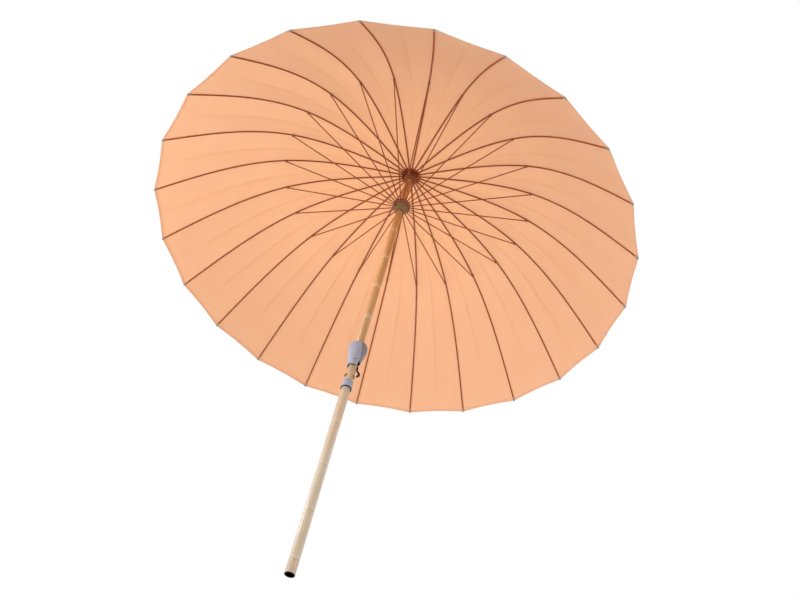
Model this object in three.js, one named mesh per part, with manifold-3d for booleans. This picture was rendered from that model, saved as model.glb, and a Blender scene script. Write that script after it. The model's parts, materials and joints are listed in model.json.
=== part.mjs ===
// Garden parasol: a round canopy on slim bent ribs, held by a runner on a bamboo-look pole that tilts.
// Millimetres, +Z up. The origin is the centre of the pole's lower end, and the tilt lever is on the +X side.
import * as THREE from "three";
import { mergeVertices } from "three/addons/utils/BufferGeometryUtils.js";
import Module from "manifold-3d";

const wasm = await Module();
wasm.setup();

// ---------------------------------------------------------------- driving dimensions

const ribCount = 24;
const canopyRadius = 1050; // pole axis to a rib's tip
const canopyDepth = 547; // rib pivots down to the rib tips
const crownHeight = 2185; // ground end of the pole up to the rib pivots
const openRunnerDrop = 239; // rib pivots down to the strut pivots, with the canopy open
const strutReach = 575; // pole axis to the pivot that joins a strut to its rib

const ribRadius = 3;
const strutRadius = 2.5;
const clipGap = 2.5; // free space between a rib and the strut pinned below it
const rodOverhang = 2.5; // rod past its pivot
const strutPinMargin = 0.5; // how much less than its radius a strut passes its rib pivot

const slotClearance = 0.4; // each side of a rib or strut in its slot
const slotEndRoom = 0.8; // more, at the inner end of a slot
const slotWeb = 2; // wall between two slots, on the pivot circle
const hubRim = 6.5; // hub past the pivot circle
const edgeBreak = 2; // chamfer round the hubs and the collar
const hubTopWall = 5; // crown hub above its slots
const hubRimDrop = 8; // rib pivots down to the crown hub's rim
const hubSocketDrop = 40; // rib pivots down to the socket's lower edge
const hubSocketInset = 5; // slots' inner ends in to the socket's outside
const poleSeatRise = 3; // rib pivots up to the pole's seat in the socket
const runningGap = 0.8; // runner on the pole
const seatGap = 0.4; // between pieces that are fixed to each other

const bellDrop = 50; // strut pivots down to the runner's lower edge
const bellFoot = 4; // straight foot of the bell
const bellNeckWall = 4.2;
const bellWaistDrop = 30;
const bellTopDrop = 8;
const bellFlare = 5; // bell's top past the slots' inner ends
const runnerRimDrop = 6;
const runnerTop = 7; // strut pivots up to the runner's top

const poleRadius = 16; // upper and middle tubes
const poleWall = 1.2;
const tubeGap = 0.6; // middle tube inside the lower tube, all round
const lowerWall = 1.4;
const lowerTubeTop = 826;
const poleEndThickness = 3;
const middleInsertion = 464; // middle tube inside the lower tube

const tiltPivotHeight = 936;
const housingHeight = 128;
const housingDrop = 24; // tilt pivot down to the housing's lower edge
const mouthGap = 6.5; // middle tube to the outside of the housing's mouth
const housingRadius = 37;
const housingWall = 2.5;
const housingSeat = 33; // stretch of the upper tube held in the housing
const housingDepthShare = 0.8; // front-to-back share of the width, at the shoulders
const housingCuffGap = 2; // pole to the outside of the housing's top edge
const swingSideGap = 1.2; // middle tube to each side of the slot it swings out through
const swingRise = 2; // slot above the tilt pivot
const pinRadius = 3;
const pinClearance = 0.4;
const pinProud = 1.5; // pin past the housing's mouth radius, each side
const knuckleDrop = 17; // tilt pivot down to the middle tube's end
const knuckleInset = 2; // knuckle's head inside the pole's outline
const spigotLength = 45;
const spigotOverlap = 2; // spigot inside the knuckle's head

const leverHeight = 905; // lever pivot above the ground end
const leverTop = 10; // lever above its pivot
const leverKnee = 4; // lever pivot down to where the fin starts to flare
const leverTipDrop = 25;
const leverLength = 38; // lever pivot down to the lever's lower end
const leverWidth = 10;
const leverGap = 1; // lever's root out from the pole
const leverRoot = 5; // lever's thickness at its pivot
const leverFlare = 19; // lever's tip out from its root
const leverBlade = 4; // lever's thickness at its tip
const leverReturn = 12; // lever's lower end in from its tip

const collarLength = 40;
const collarWall = 2.6;
const collarLip = 9;
const collarTopWall = 1.6;
const collarTaper = 0.8; // collar narrower at its inner step than at its lower edge
const collarTopGap = 1; // lower tube's end to the collar's inner step

const fabricGap = 0.8;
const fabricThickness = 1;
const postRadius = 9;
const postHeight = 11;
const capRadius = 28;
const capHeight = 21;
const capRimHeight = 3;

const buttonRadius = 4;
const buttonAzimuth = THREE.MathUtils.degToRad(210);
const buttonDrop = 20; // strut pivots down to the button's axis
const buttonTravel = 2.5;
const buttonProud = 1.5; // button past the bell when it is pressed in
const buttonPocketWall = 2.4; // bell left between the button's pocket and the pole

// ---------------------------------------------------------------- derived places

const clipDrop = ribRadius + clipGap + strutRadius; // rib's axis to the strut pivot below it
const slotWidth = 2 * (Math.max(ribRadius, strutRadius) + slotClearance);
const pivotRadius = (ribCount * (slotWidth + slotWeb)) / (2 * Math.PI);
const hubRadius = pivotRadius + hubRim;
const slotDepth = Math.hypot(rodOverhang, ribRadius) + slotClearance;
const slotInner = pivotRadius - slotDepth - slotEndRoom;
const hubTop = slotDepth + hubTopWall;
const bellNeck = poleRadius + runningGap + bellNeckWall;
const buttonPocketEnd = poleRadius + runningGap + buttonPocketWall;
const lowerRadius = poleRadius + tubeGap + lowerWall;
const housingMouthRadius = poleRadius + mouthGap;
const poleTop = crownHeight + poleSeatRise - seatGap;
const runnerHeight = crownHeight - openRunnerDrop;
const strutJointHeight = crownHeight - openRunnerDrop / 2;
const rimHeight = crownHeight - canopyDepth;
const ribStep = (2 * Math.PI) / ribCount;
const housingBottom = tiltPivotHeight - housingDrop;
const upperTubeBottom = housingBottom + housingHeight - housingSeat + seatGap;
const roundSides = 2 * ribCount;
const tubeSides = 32;

// ---------------------------------------------------------------- helpers

// A closed geometry as a solid for joining and cutting.
function solid(geometry) {
  const bare = geometry.clone();
  bare.deleteAttribute("normal");
  bare.deleteAttribute("uv");
  const merged = mergeVertices(bare, 1e-3);
  return new wasm.Manifold(
    new wasm.Mesh({
      numProp: 3,
      vertProperties: new Float32Array(merged.attributes.position.array),
      triVerts: new Uint32Array(merged.index.array),
    }),
  );
}

// A solid as a geometry with one normal per face.
function geometryOf(shape) {
  const { vertProperties, triVerts, numProp } = shape.getMesh();
  const positions = new Float32Array((vertProperties.length / numProp) * 3);
  for (let i = 0; i < positions.length / 3; i++) {
    positions.set(vertProperties.subarray(i * numProp, i * numProp + 3), i * 3);
  }
  const indexed = new THREE.BufferGeometry();
  indexed.setAttribute("position", new THREE.BufferAttribute(positions, 3));
  indexed.setIndex(new THREE.BufferAttribute(new Uint32Array(triVerts), 1));
  const flat = indexed.toNonIndexed();
  flat.computeVertexNormals();
  return flat;
}

// A profile of [radius, height] pairs turned about the Z axis, listed with the material on its left.
function turned(profile, sides = tubeSides) {
  const points = profile.map(([radius, height]) => new THREE.Vector2(radius, height));
  return new THREE.LatheGeometry(points, sides).rotateX(Math.PI / 2);
}

// A tube that stands on the Z axis.
function tube(inner, outer, bottom, top, sides = tubeSides) {
  return turned(
    [
      [inner, bottom],
      [outer, bottom],
      [outer, top],
      [inner, top],
      [inner, bottom],
    ],
    sides,
  );
}

// An outline in the XZ plane, extruded to both sides of it.
function extrudedAcross(shape, width, curveSegments = 6) {
  const options = { depth: width, bevelEnabled: false, curveSegments };
  return new THREE.ExtrudeGeometry(shape, options).translate(0, 0, -width / 2).rotateX(Math.PI / 2);
}

function addMesh(parent, name, geometry, look) {
  const mesh = new THREE.Mesh(geometry, new THREE.MeshStandardMaterial(look));
  mesh.name = name;
  parent.add(mesh);
  return mesh;
}

const numbered = (stem, index) => `${stem}_${String(index + 1).padStart(2, "0")}`;

// Radial slots for the rods, from slotInner out through the rim, between two heights.
function rodSlots(bottom, top) {
  const length = 2 * hubRadius - slotInner;
  let slots = null;
  for (let i = 0; i < ribCount; i++) {
    const box = new THREE.BoxGeometry(length, slotWidth, top - bottom);
    box.translate(slotInner + length / 2, 0, (top + bottom) / 2);
    box.rotateZ(i * ribStep);
    slots = slots ? slots.add(solid(box)) : solid(box);
  }
  return slots;
}

// ---------------------------------------------------------------- looks

const bamboo = { color: 0xcfb48e, roughness: 0.45, metalness: 0 };
const brownRod = { color: 0x8a4a22, roughness: 0.4, metalness: 0 };
const brownHub = { color: 0x7a4a35, roughness: 0.5, metalness: 0 };
const greyPlastic = { color: 0xa5a8b8, roughness: 0.45, metalness: 0 };
const darkPlastic = { color: 0x2b2a2c, roughness: 0.5, metalness: 0 };
const peachFabric = { color: 0xf3b98d, roughness: 0.9, metalness: 0 };

// ---------------------------------------------------------------- ribs and struts

// The rib is a springy rod: it pivots at the crown, the strut pushes it up, and the fabric pulls its tip
// down. So it bends as a natural cubic spline through those three points, in the XZ plane.
class BentRib extends THREE.Curve {
  constructor(offset = 0) {
    super();
    this.offset = offset;
    this.crown = new THREE.Vector3(pivotRadius, 0, crownHeight);
    this.joint = new THREE.Vector3(strutReach, 0, strutJointHeight + clipDrop);
    this.tip = new THREE.Vector3(canopyRadius, 0, rimHeight);
    this.inner = this.crown.distanceTo(this.joint);
    this.outer = this.joint.distanceTo(this.tip);
    const innerSlope = this.joint.clone().sub(this.crown).divideScalar(this.inner);
    const outerSlope = this.tip.clone().sub(this.joint).divideScalar(this.outer);
    this.bend = outerSlope.sub(innerSlope).multiplyScalar(3 / (this.inner + this.outer));
  }

  // The point at a chord distance from the crown.
  axisPoint(distance) {
    const { crown, joint, tip, inner, outer, bend } = this;
    const first = distance <= inner;
    const span = first ? inner : outer;
    const near = first ? distance : inner + outer - distance;
    const [end, far] = first ? [crown, joint] : [tip, joint];
    const share = near / span;
    const sag = (near * (near * near - span * span)) / (6 * span);
    return end.clone().lerp(far, share).addScaledVector(bend, sag);
  }

  getPoint(t, target = new THREE.Vector3()) {
    const length = this.inner + this.outer;
    const start = -rodOverhang;
    const distance = start + t * (length - start);
    const point = this.axisPoint(distance);
    if (this.offset !== 0) {
      const ahead = this.axisPoint(distance + 1).sub(this.axisPoint(distance - 1));
      point.addScaledVector(new THREE.Vector3(-ahead.z, 0, ahead.x).normalize(), this.offset);
    }
    return target.copy(point);
  }
}

const ribSteps = 16;
const rodSides = 6;

function rodSection(radius) {
  const shape = new THREE.Shape();
  shape.moveTo(radius, 0);
  for (let i = 1; i < rodSides; i++) {
    const angle = (2 * Math.PI * i) / rodSides;
    shape.lineTo(radius * Math.cos(angle), radius * Math.sin(angle));
  }
  shape.closePath();
  return shape;
}

function ribGeometry() {
  const options = { steps: ribSteps, bevelEnabled: false, extrudePath: new BentRib() };
  return new THREE.ExtrudeGeometry(rodSection(ribRadius), options);
}

function strutGeometry() {
  const runnerPivot = new THREE.Vector3(pivotRadius, 0, runnerHeight);
  const ribPivot = new THREE.Vector3(strutReach, 0, strutJointHeight);
  const along = ribPivot.clone().sub(runnerPivot).normalize();
  const start = runnerPivot.addScaledVector(along, -rodOverhang);
  const end = ribPivot.addScaledVector(along, strutRadius - strutPinMargin);
  const options = { steps: 1, bevelEnabled: false, extrudePath: new THREE.LineCurve3(start, end) };
  return new THREE.ExtrudeGeometry(rodSection(strutRadius), options);
}

// ---------------------------------------------------------------- hubs

// The crown hub: its slots open outwards and down, its socket takes the pole, its post holds the fabric.
function crownHubGeometry() {
  const bore = poleRadius + seatGap;
  const socketRadius = slotInner - hubSocketInset;
  const body = turned(
    [
      [0, poleSeatRise],
      [bore, poleSeatRise],
      [bore, -hubSocketDrop],
      [socketRadius, -hubSocketDrop],
      [socketRadius + edgeBreak, -hubRimDrop],
      [hubRadius - edgeBreak, -hubRimDrop],
      [hubRadius, edgeBreak - hubRimDrop],
      [hubRadius, hubTop - edgeBreak],
      [hubRadius - edgeBreak, hubTop],
      [postRadius, hubTop],
      [postRadius, hubTop + postHeight],
      [0, hubTop + postHeight],
    ],
    roundSides,
  );
  return geometryOf(solid(body).subtract(rodSlots(-2 * hubSocketDrop, slotDepth)));
}

// The runner: its slots open outwards and up, and a bell below them slides on the pole.
const bellRadius = (drop) =>
  THREE.MathUtils.mapLinear(drop, bellDrop, bellTopDrop, bellNeck, slotInner + bellFlare);

function runnerGeometry() {
  const bore = poleRadius + runningGap;
  const bell = new THREE.Path();
  bell.moveTo(bellNeck, bellFoot - bellDrop);
  bell.quadraticCurveTo(slotInner, -bellWaistDrop, slotInner + bellFlare, -bellTopDrop);
  const body = turned(
    [
      [bore, -bellDrop],
      [bellNeck, -bellDrop],
      ...bell.getPoints(5).map((point) => [point.x, point.y]),
      [hubRadius, -runnerRimDrop],
      [hubRadius, runnerTop - edgeBreak],
      [hubRadius - edgeBreak, runnerTop],
      [bore, runnerTop],
      [bore, -bellDrop],
    ],
    roundSides,
  );
  const pocket = buttonRod(buttonRadius + slotClearance, buttonPocketEnd, 2 * hubRadius);
  return geometryOf(solid(body).subtract(rodSlots(-slotDepth, 2 * runnerTop)).subtract(solid(pocket)));
}

// A round bar that lies along the button's direction, from one radius to another.
function buttonRod(radius, from, to) {
  const bar = new THREE.CylinderGeometry(radius, radius, to - from, 16);
  return bar.rotateZ(-Math.PI / 2).translate((from + to) / 2, 0, -buttonDrop).rotateZ(buttonAzimuth);
}

function runnerButtonGeometry() {
  const inner = buttonPocketEnd + seatGap + buttonTravel;
  return buttonRod(buttonRadius, inner, bellRadius(buttonDrop) + buttonTravel + buttonProud);
}

// ---------------------------------------------------------------- canopy and top cap

// Fabric over the ribs: flat between two ribs, and open round the crown's post.
function canopyGeometry() {
  const rib = new BentRib();
  const underside = new BentRib(ribRadius + fabricGap);
  const topside = new BentRib(ribRadius + fabricGap + fabricThickness);
  const crownFlat = hubTop + fabricGap;
  const under = [
    [postRadius + fabricGap, crownHeight + crownFlat],
    [hubRadius, crownHeight + crownFlat],
  ];
  const over = under.map(([radius, height]) => [radius, height + fabricThickness]);
  for (let i = 1; i <= ribSteps; i++) {
    const t = rib.getUtoTmapping(i / ribSteps);
    const low = underside.getPoint(t);
    const high = topside.getPoint(t);
    under.push([low.x, low.z]);
    over.push([high.x, high.z]);
  }
  const outline = [...under, ...over.reverse(), under[0]];
  return turned(outline, ribCount);
}

function topCapGeometry() {
  const bottom = hubTop + 2 * fabricGap + fabricThickness;
  const socketTop = hubTop + postHeight + seatGap;
  const dome = new THREE.Path();
  dome.moveTo(capRadius, bottom + capRimHeight);
  dome.quadraticCurveTo(0.8 * capRadius, bottom + 0.75 * capHeight, 0, bottom + capHeight);
  return turned([
    [0, socketTop],
    [postRadius + seatGap, socketTop],
    [postRadius + seatGap, bottom],
    [capRadius, bottom],
    ...dome.getPoints(6).map((point) => [point.x, point.y]),
  ]);
}

// ---------------------------------------------------------------- tilt joint

// Narrows a turned shell from front to back, more towards its shoulders.
function flattened(geometry) {
  const position = geometry.attributes.position;
  for (let i = 0; i < position.count; i++) {
    const rise = THREE.MathUtils.smoothstep(position.getZ(i), housingHeight * 0.15, housingHeight * 0.75);
    position.setY(i, position.getY(i) * (1 - rise * (1 - housingDepthShare)));
  }
  return geometry;
}

// A pear outline, inset from the housing's outside, from the mouth to its top.
function pear(inset, bottom, top) {
  const mouth = housingMouthRadius - inset;
  const widest = housingRadius - inset;
  const shoulder = housingHeight * 0.76;
  const path = new THREE.Path();
  path.moveTo(mouth, bottom);
  path.bezierCurveTo(mouth + 2, shoulder * 0.45, widest, shoulder * 0.7, widest, shoulder);
  if (inset === 0) {
    path.bezierCurveTo(widest, 0.9 * top, 0.75 * widest, top, poleRadius + housingCuffGap, top);
  }
  const side = path.getPoints(6).map((point) => [point.x, point.y]);
  return [[0, bottom], ...side, [0, inset === 0 ? top : shoulder]];
}

function tiltHousingGeometry() {
  const outside = solid(flattened(turned(pear(0, 0, housingHeight))));
  const inside = solid(flattened(turned(pear(housingWall, -1, housingHeight))));
  const boreRadius = poleRadius + seatGap;
  const bore = new THREE.CylinderGeometry(boreRadius, boreRadius, housingHeight, tubeSides);
  bore.rotateX(Math.PI / 2).translate(0, 0, housingHeight);
  const holeRadius = pinRadius + pinClearance;
  const pinHole = new THREE.CylinderGeometry(holeRadius, holeRadius, 4 * housingRadius, 16);
  pinHole.translate(0, 0, housingDrop);
  const swingReach = 2 * housingRadius;
  const swingHeight = housingDrop + swingRise;
  const swing = new THREE.BoxGeometry(swingReach, 2 * (poleRadius + swingSideGap), 2 * swingHeight);
  swing.translate(swingReach / 2, 0, 0);
  const shell = outside.subtract(inside).subtract(solid(bore));
  return geometryOf(shell.subtract(solid(pinHole)).subtract(solid(swing)));
}

// The knuckle fills the middle tube's end and carries the pin that the housing tilts on.
function tiltKnuckleGeometry() {
  const headHalf = poleRadius - knuckleInset;
  const headBottom = -knuckleDrop + seatGap;
  const outline = new THREE.Shape();
  outline.moveTo(-headHalf, headBottom);
  outline.lineTo(headHalf, headBottom);
  outline.lineTo(headHalf, 0);
  outline.absarc(0, 0, headHalf, 0, Math.PI, false);
  outline.closePath();
  const head = extrudedAcross(outline, 1.5 * headHalf);
  const spigotRadius = poleRadius - poleWall - seatGap;
  const spigot = new THREE.CylinderGeometry(spigotRadius, spigotRadius, spigotLength, 24);
  spigot.rotateX(Math.PI / 2).translate(0, 0, headBottom - spigotLength / 2 + spigotOverlap);
  const pinLength = 2 * (housingMouthRadius + pinProud);
  const pin = new THREE.CylinderGeometry(pinRadius, pinRadius, pinLength, 16);
  return geometryOf(solid(head).add(solid(spigot)).add(solid(pin)));
}

// The lever is a fin that flares away from the pole and turns back; pressing its tip in frees the tilt.
function tiltLeverGeometry() {
  const inner = poleRadius + leverGap;
  const tip = inner + leverFlare;
  const outer = inner + leverRoot;
  const foot = tip - leverReturn;
  const outline = new THREE.Shape();
  outline.moveTo(inner, leverTop);
  outline.lineTo(inner, -leverKnee);
  outline.lineTo(tip - leverBlade, -leverTipDrop);
  outline.lineTo(foot - leverBlade / 2, leverBlade / 2 - leverLength);
  outline.lineTo(foot, -leverLength);
  outline.lineTo(tip, -leverTipDrop);
  outline.lineTo(outer, -1.5 * leverKnee);
  outline.lineTo(outer, leverTop);
  outline.closePath();
  return extrudedAcross(outline, leverWidth);
}

// ---------------------------------------------------------------- pole

function collarGeometry() {
  const inner = lowerRadius + runningGap;
  const outer = inner + collarWall;
  const step = lowerTubeTop + collarTopGap;
  const top = step + collarLip;
  const bottom = top - collarLength;
  return turned([
    [inner, bottom],
    [outer - edgeBreak / 2, bottom],
    [outer, bottom + edgeBreak],
    [outer - collarTaper, step],
    [poleRadius + runningGap + collarTopWall, top],
    [poleRadius + runningGap, top],
    [poleRadius + runningGap, step],
    [inner, step],
    [inner, bottom],
  ]);
}

function lowerTubeGeometry() {
  return turned([
    [0, 0],
    [lowerRadius, 0],
    [lowerRadius, lowerTubeTop],
    [lowerRadius - lowerWall, lowerTubeTop],
    [lowerRadius - lowerWall, poleEndThickness],
    [0, poleEndThickness],
  ]);
}

// ---------------------------------------------------------------- assembly

const parasol = new THREE.Group();

addMesh(parasol, "lower_tube", lowerTubeGeometry(), bamboo);
addMesh(parasol, "lock_collar", collarGeometry(), greyPlastic);

const middle = new THREE.Group();
parasol.add(middle);
const middleTop = tiltPivotHeight - knuckleDrop;
const middleBottom = lowerTubeTop - middleInsertion;
addMesh(middle, "middle_tube", tube(poleRadius - poleWall, poleRadius, middleBottom, middleTop), bamboo);
addMesh(middle, "tilt_knuckle", tiltKnuckleGeometry(), darkPlastic).position.z = tiltPivotHeight;
addMesh(middle, "tilt_lever", tiltLeverGeometry(), darkPlastic).position.z = leverHeight;

const mast = new THREE.Group();
parasol.add(mast);
const mastTube = tube(poleRadius - poleWall, poleRadius, upperTubeBottom, poleTop);
addMesh(mast, "tilt_housing", tiltHousingGeometry(), greyPlastic).position.z = housingBottom;
addMesh(mast, "upper_tube", mastTube, bamboo);
addMesh(mast, "crown_hub", crownHubGeometry(), brownHub).position.z = crownHeight;
addMesh(mast, "top_cap", topCapGeometry(), brownHub).position.z = crownHeight;
addMesh(mast, "canopy", canopyGeometry(), peachFabric);

const slider = new THREE.Group();
slider.position.z = runnerHeight;
mast.add(slider);
addMesh(slider, "runner", runnerGeometry(), brownHub);
addMesh(slider, "runner_button", runnerButtonGeometry(), darkPlastic);

for (let i = 0; i < ribCount; i++) {
  const arm = new THREE.Group();
  arm.rotation.z = i * ribStep;
  mast.add(arm);
  addMesh(arm, numbered("rib", i), ribGeometry(), brownRod);
  addMesh(arm, numbered("strut", i), strutGeometry(), brownRod);
}

export default parasol;
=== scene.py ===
"""Garden parasol: the looks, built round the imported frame. Metres, +Z up, origin at the pole's lower end."""
import json
import math

import bmesh
import bpy
from mathutils import Matrix, Vector, noise


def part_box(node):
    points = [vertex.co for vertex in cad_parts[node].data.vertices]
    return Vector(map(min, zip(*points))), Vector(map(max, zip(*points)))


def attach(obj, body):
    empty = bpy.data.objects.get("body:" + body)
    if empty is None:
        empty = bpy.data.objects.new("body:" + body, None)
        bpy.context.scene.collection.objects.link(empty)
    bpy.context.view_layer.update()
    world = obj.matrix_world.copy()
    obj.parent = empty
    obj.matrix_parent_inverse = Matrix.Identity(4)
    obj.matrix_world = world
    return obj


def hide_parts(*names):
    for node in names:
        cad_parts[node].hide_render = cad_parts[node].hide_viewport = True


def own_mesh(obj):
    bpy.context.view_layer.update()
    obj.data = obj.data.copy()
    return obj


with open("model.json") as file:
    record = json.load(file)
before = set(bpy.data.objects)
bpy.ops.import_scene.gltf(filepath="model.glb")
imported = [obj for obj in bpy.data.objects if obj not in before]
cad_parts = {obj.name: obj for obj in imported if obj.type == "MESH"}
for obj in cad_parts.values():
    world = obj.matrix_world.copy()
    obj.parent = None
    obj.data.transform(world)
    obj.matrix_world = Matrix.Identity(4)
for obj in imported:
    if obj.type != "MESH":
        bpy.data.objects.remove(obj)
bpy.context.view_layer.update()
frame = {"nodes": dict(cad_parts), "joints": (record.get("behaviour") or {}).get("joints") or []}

MM = 0.001

# ---------------------------------------------------------------- sizes, from the frame


def joint(name):
    return next(j for j in frame["joints"] if j["name"] == name)


RIB_COUNT = sum(1 for n in frame["nodes"] if n.startswith("rib_"))
RIB_STEP = 2 * math.pi / RIB_COUNT
CROWN_PIVOT = Vector(joint("rib_01_fold")["pos_m"])
STRUT_PIVOT = Vector(joint("strut_01_fold")["pos_m"])
RUNNER_PIVOT = Vector(joint("runner_slide")["pos_m"])
TILT_PIVOT = Vector(joint("mast_tilt")["pos_m"])
LEVER_PIVOT = Vector(joint("lever_press")["pos_m"])
PIVOT_RADIUS = CROWN_PIVOT.x

ROD_OVERHANG = 2.5 * MM
RIB_RADIUS = 3 * MM
STRUT_RADIUS = 2.5 * MM
CLIP_DROP = 8 * MM
FABRIC_GAP = 0.5 * MM

CANOPY_RADIUS = 1050 * MM
RIM_HEIGHT = CROWN_PIVOT.z - 547 * MM

POLE_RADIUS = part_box("upper_tube")[1].x
LOWER_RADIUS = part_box("lower_tube")[1].x
LOWER_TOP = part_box("lower_tube")[1].z
HUB_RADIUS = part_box("crown_hub")[1].x
HOUSING_LOW, HOUSING_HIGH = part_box("tilt_housing")
HOUSING_HEIGHT = HOUSING_HIGH.z - HOUSING_LOW.z
COLLAR_LOW, COLLAR_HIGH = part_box("lock_collar")
LEVER_LOW, LEVER_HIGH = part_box("tilt_lever")
CAP_LOW, CAP_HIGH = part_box("top_cap")

# ---------------------------------------------------------------- camera

camera = bpy.data.objects.new("camera", bpy.data.cameras.new("camera"))
bpy.context.scene.collection.objects.link(camera)
bpy.context.scene.camera = camera
camera.data.sensor_width = 36
camera.data.lens = 44.35
forward = Vector((-0.0207, 0.6826, 0.7305)).normalized()
upward = Vector((-0.2423, -0.7123, 0.6588)).normalized()
sideways = forward.cross(upward).normalized()
upward = sideways.cross(forward)
turn = Matrix((sideways, upward, -forward)).transposed().to_4x4()
camera.matrix_world = Matrix.Translation((0.190, -2.760, -1.616)) @ turn
camera.data.clip_end = 100

# ---------------------------------------------------------------- mesh helpers


def new_object(name, mesh):
    obj = bpy.data.objects.new(name, mesh)
    bpy.context.scene.collection.objects.link(obj)
    return obj


def mesh_from(name, points, faces):
    mesh = bpy.data.meshes.new(name)
    mesh.from_pydata([tuple(p) for p in points], [], faces)
    mesh.validate()
    return mesh


def tidy_normals(mesh):
    work = bmesh.new()
    work.from_mesh(mesh)
    bmesh.ops.remove_doubles(work, verts=work.verts, dist=1e-6)
    bmesh.ops.recalc_face_normals(work, faces=work.faces)
    work.to_mesh(mesh)
    work.free()


def smooth(mesh, degrees=35):
    mesh.polygons.foreach_set("use_smooth", [True] * len(mesh.polygons))
    mesh.set_sharp_from_angle(angle=math.radians(degrees))


def lathe(name, profile, sides=96):
    """A closed profile of (radius, height) points turned about Z; points on the axis become one vertex."""
    points, rings = [], []
    for radius, height in profile:
        if radius < 1e-7:
            rings.append([len(points)] * sides)
            points.append((0, 0, height))
            continue
        ring = []
        for k in range(sides):
            angle = 2 * math.pi * k / sides
            ring.append(len(points))
            points.append((radius * math.cos(angle), radius * math.sin(angle), height))
        rings.append(ring)
    faces = []
    closed = profile[0][0] > 1e-7
    pairs = list(zip(rings, rings[1:] + rings[:1])) if closed else list(zip(rings, rings[1:]))
    for ring_a, ring_b in pairs:
        for k in range(sides):
            m = (k + 1) % sides
            face = []
            for index in (ring_a[k], ring_a[m], ring_b[m], ring_b[k]):
                if index not in face:
                    face.append(index)
            if len(face) > 2:
                faces.append(face)
    mesh = mesh_from(name, points, faces)
    tidy_normals(mesh)
    return mesh


def rounded(profile, radius, steps=3):
    """The same profile with each inner corner cut to an arc of about that radius."""
    result = [profile[0]]
    for before, corner, after in zip(profile, profile[1:], profile[2:]):
        a, b, c = Vector(before), Vector(corner), Vector(after)
        reach = min(radius, (a - b).length * 0.45, (c - b).length * 0.45)
        start = b + (a - b).normalized() * reach
        end = b + (c - b).normalized() * reach
        for i in range(steps + 1):
            t = i / steps
            point = start * (1 - t) ** 2 + b * 2 * t * (1 - t) + end * t * t
            result.append((point.x, point.y))
    result.append(profile[-1])
    return result


def rod(name, path, radius, sides=10, radii=None):
    """A round rod through points in the XZ plane, with domed ends.

    radii may give (across Y, in plane) per point.
    """
    points, faces = [], []
    count = len(path)
    for i, p in enumerate(path):
        ahead = path[min(i + 1, count - 1)] - path[max(i - 1, 0)]
        ahead.normalize()
        normal = Vector((-ahead.z, 0, ahead.x))
        across, within = radii[i] if radii else (radius, radius)
        for k in range(sides):
            angle = 2 * math.pi * k / sides
            sideways = Vector((0, 1, 0)) * across * math.sin(angle)
            points.append(p + sideways + normal * within * math.cos(angle))
    for i in range(count - 1):
        for k in range(sides):
            m = (k + 1) % sides
            faces.append((i * sides + k, i * sides + m, (i + 1) * sides + m, (i + 1) * sides + k))
    faces.append(tuple(range(sides)))
    faces.append(tuple((count - 1) * sides + k for k in range(sides)))
    mesh = mesh_from(name, points, faces)
    tidy_normals(mesh)
    smooth(mesh, 50)
    return mesh


def extruded(name, outline, half_width):
    """An (x, z) outline extruded to both sides of the XZ plane."""
    count = len(outline)
    points = [(x, -half_width, z) for x, z in outline] + [(x, half_width, z) for x, z in outline]
    faces = [tuple(range(count)), tuple(range(2 * count - 1, count - 1, -1))]
    for k in range(count):
        m = (k + 1) % count
        faces.append((k, m, count + m, count + k))
    mesh = mesh_from(name, points, faces)
    tidy_normals(mesh)
    return mesh


def merged(name, meshes):
    work = bmesh.new()
    for mesh in meshes:
        work.from_mesh(mesh)
    result = bpy.data.meshes.new(name)
    work.to_mesh(result)
    work.free()
    return result


def apply_modifiers(obj):
    graph = bpy.context.evaluated_depsgraph_get()
    baked = bpy.data.meshes.new_from_object(obj.evaluated_get(graph))
    obj.modifiers.clear()
    obj.data = baked


def boolean(mesh, cutter, operation="DIFFERENCE"):
    body = new_object("boolean_body", mesh)
    tool = new_object("boolean_tool", cutter)
    modifier = body.modifiers.new("cut", "BOOLEAN")
    modifier.operation = operation
    modifier.solver = "EXACT"
    modifier.object = tool
    apply_modifiers(body)
    result = body.data
    bpy.data.objects.remove(body)
    bpy.data.objects.remove(tool)
    return result


def bevelled(mesh, width, segments=2, degrees=35):
    body = new_object("bevel_body", mesh)
    modifier = body.modifiers.new("bevel", "BEVEL")
    modifier.width = width
    modifier.segments = segments
    modifier.limit_method = "ANGLE"
    modifier.angle_limit = math.radians(degrees)
    modifier.use_clamp_overlap = True
    apply_modifiers(body)
    result = body.data
    bpy.data.objects.remove(body)
    return result


def place(name, mesh, material, body, slot, replaces=(), turn=0.0):
    obj = new_object(name, mesh)
    if material is not None:
        mesh.materials.clear()
        mesh.materials.append(material)
    obj.rotation_euler.z = turn
    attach(obj, body)
    if replaces:
        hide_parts(*replaces)
    return obj


def numbered(stem, index):
    return f"{stem}_{index + 1:02d}"


# ---------------------------------------------------------------- material helpers


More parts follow.
